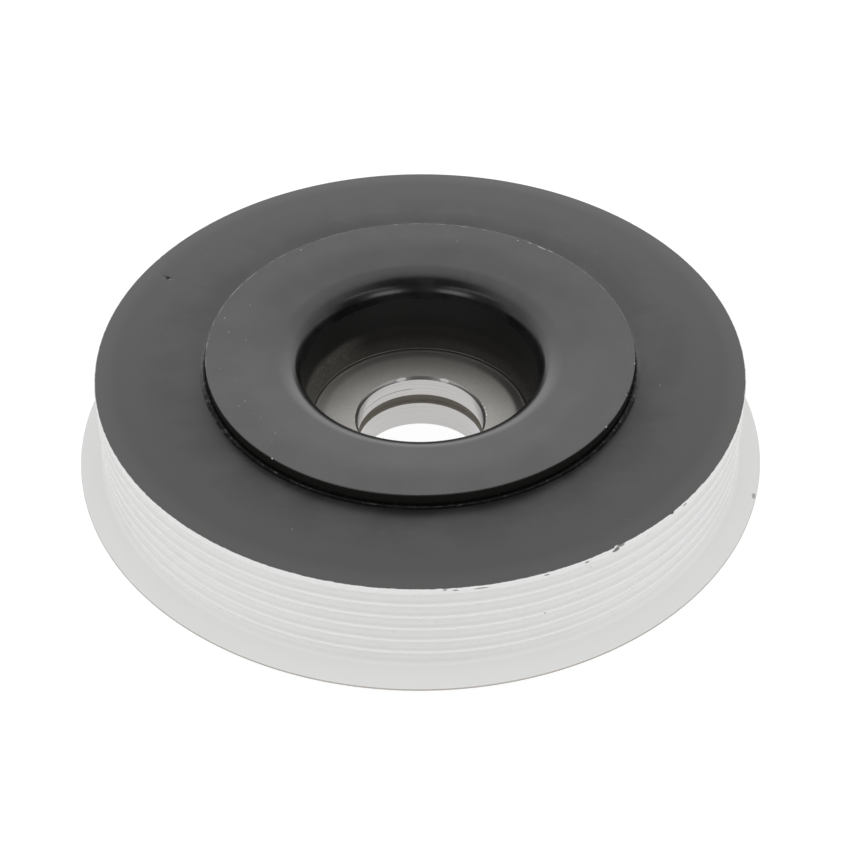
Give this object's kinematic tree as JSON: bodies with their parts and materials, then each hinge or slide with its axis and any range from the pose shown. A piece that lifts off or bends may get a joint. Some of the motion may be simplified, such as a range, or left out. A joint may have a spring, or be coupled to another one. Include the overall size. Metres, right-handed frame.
{
  "type": "harmonic balancer",
  "caption": "Rubber-coupled crankshaft pulley: pale grooved rim with a rear flange, black front web, raised centre disc rolled into a deep bolt well, bored steel hub.",
  "frame": {"origin": "on the shaft axis in the rear face of the hub nose, the lowest face", "axes": "+Z along the shaft axis, out of the engine towards the bolt head"},
  "size_m": [0.1618, 0.1618, 0.0367],
  "materials": {
    "pulley_paint": "satin pale grey paint on the belt track, satin black on the web",
    "plate_paint": "satin black paint",
    "hub_steel": "turned steel, bright in the bore",
    "rubber": "smooth moulded rubber",
    "plated_steel": "dull plated steel",
    "bush_plastic": "plain bearing plastic",
    "carrier_paint": "satin black paint",
    "cast_ring": "dark turned cast iron"
  },
  "bodies": {
    "root": {"belt_pulley": "pulley_paint", "front_plate": "plate_paint", "hub": "hub_steel", "coupling_rubber": "rubber", "coupling_ring": "plated_steel", "bearing_bush": "bush_plastic", "damper_carrier": "carrier_paint", "damping_rubber": "rubber", "inertia_ring": "cast_ring"}
  },
  "joints": []
}
